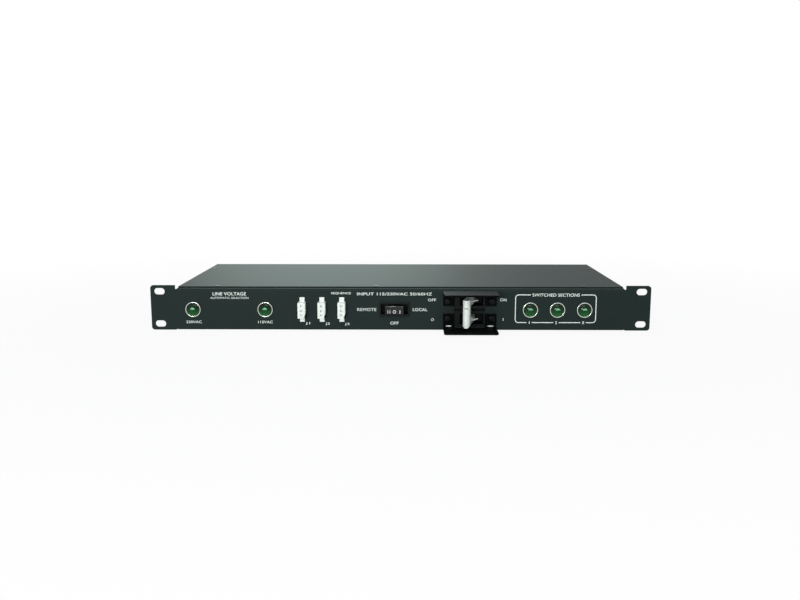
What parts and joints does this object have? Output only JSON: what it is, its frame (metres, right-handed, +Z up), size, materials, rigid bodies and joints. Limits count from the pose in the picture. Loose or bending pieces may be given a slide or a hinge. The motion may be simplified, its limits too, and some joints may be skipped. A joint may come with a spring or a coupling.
{
  "type": "rack power distribution unit",
  "caption": "Flat black rack-width power controller with ears, green lamps, white remote connectors, a rocker switch and a guarded main breaker; outlets and inlet on the back.",
  "frame": {"origin": "centre of the four rack slots, on the back face of the ears", "axes": "+X to the right seen from the front, +Y into the rack, +Z up"},
  "size_m": [0.4826, 0.2108, 0.0436],
  "materials": {
    "coated_steel": "satin textured powder coat",
    "guard_steel": "satin black",
    "black_screws": "black oxide",
    "bezel_metal": "bright nickel",
    "green_lens": "clear green, glossy",
    "black_moulding": "moulded",
    "rocker_moulding": "moulded, semi-gloss",
    "white_nylon": "moulded nylon",
    "white_handle": "moulded",
    "plated_contacts": "tin-plated",
    "plain_steel": "plain steel",
    "board_laminate": "solder-masked laminate",
    "relay_case": "moulded",
    "coil_winding": "taped winding"
  },
  "bodies": {
    "enclosure": {"chassis": "coated_steel", "side_plate_left": "coated_steel", "side_plate_right": "coated_steel", "top_cover": "coated_steel", "guard_upper": "guard_steel", "guard_lower": "guard_steel", "guard_screws": "black_screws", "filter_screws": "black_screws", "board_screws": "black_screws", "lamp_bodies": "bezel_metal", "lamp_lenses": "green_lens", "rocker_housing": "black_moulding", "breaker_pole_upper": "black_moulding", "breaker_pole_lower": "black_moulding", "power_inlet": "black_moulding", "outlet_strip_1": "black_moulding", "outlet_strip_2": "black_moulding", "outlet_strip_3": "black_moulding", "terminal_block": "black_moulding", "connector_1": "white_nylon", "connector_2": "white_nylon", "connector_3": "white_nylon", "connector_contacts_1": "plated_contacts", "connector_contacts_2": "plated_contacts", "connector_contacts_3": "plated_contacts", "inlet_blades": "plated_contacts", "outlet_contacts_1": "plated_contacts", "outlet_contacts_2": "plated_contacts", "outlet_contacts_3": "plated_contacts", "rocker_terminals": "plated_contacts", "breaker_terminals": "plated_contacts", "handle_pin": "plain_steel", "earth_post": "plain_steel", "board_standoffs": "plain_steel", "transformer_core": "plain_steel", "line_filter": "plain_steel", "control_board": "board_laminate", "section_relay_1": "relay_case", "section_relay_2": "relay_case", "section_relay_3": "relay_case", "transformer_coil": "coil_winding"},
    "rocker": {"rocker": "rocker_moulding"},
    "breaker_handle": {"handle_upper": "white_handle", "handle_lower": "white_handle", "handle_tie": "white_handle"}
  },
  "joints": [
    {"name": "rocker_tilt", "type": "hinge", "parent": "enclosure", "child": "rocker", "pos_m": [-0.0053, 0.003, -0.0012], "axis": [0, 0, 1], "range_deg": [-10, 10]},
    {"name": "breaker_throw", "type": "hinge", "parent": "enclosure", "child": "breaker_handle", "pos_m": [0.0691, 0.006, -0.0016], "axis": [0, 0, 1], "range_deg": [0, 26]}
  ]
}
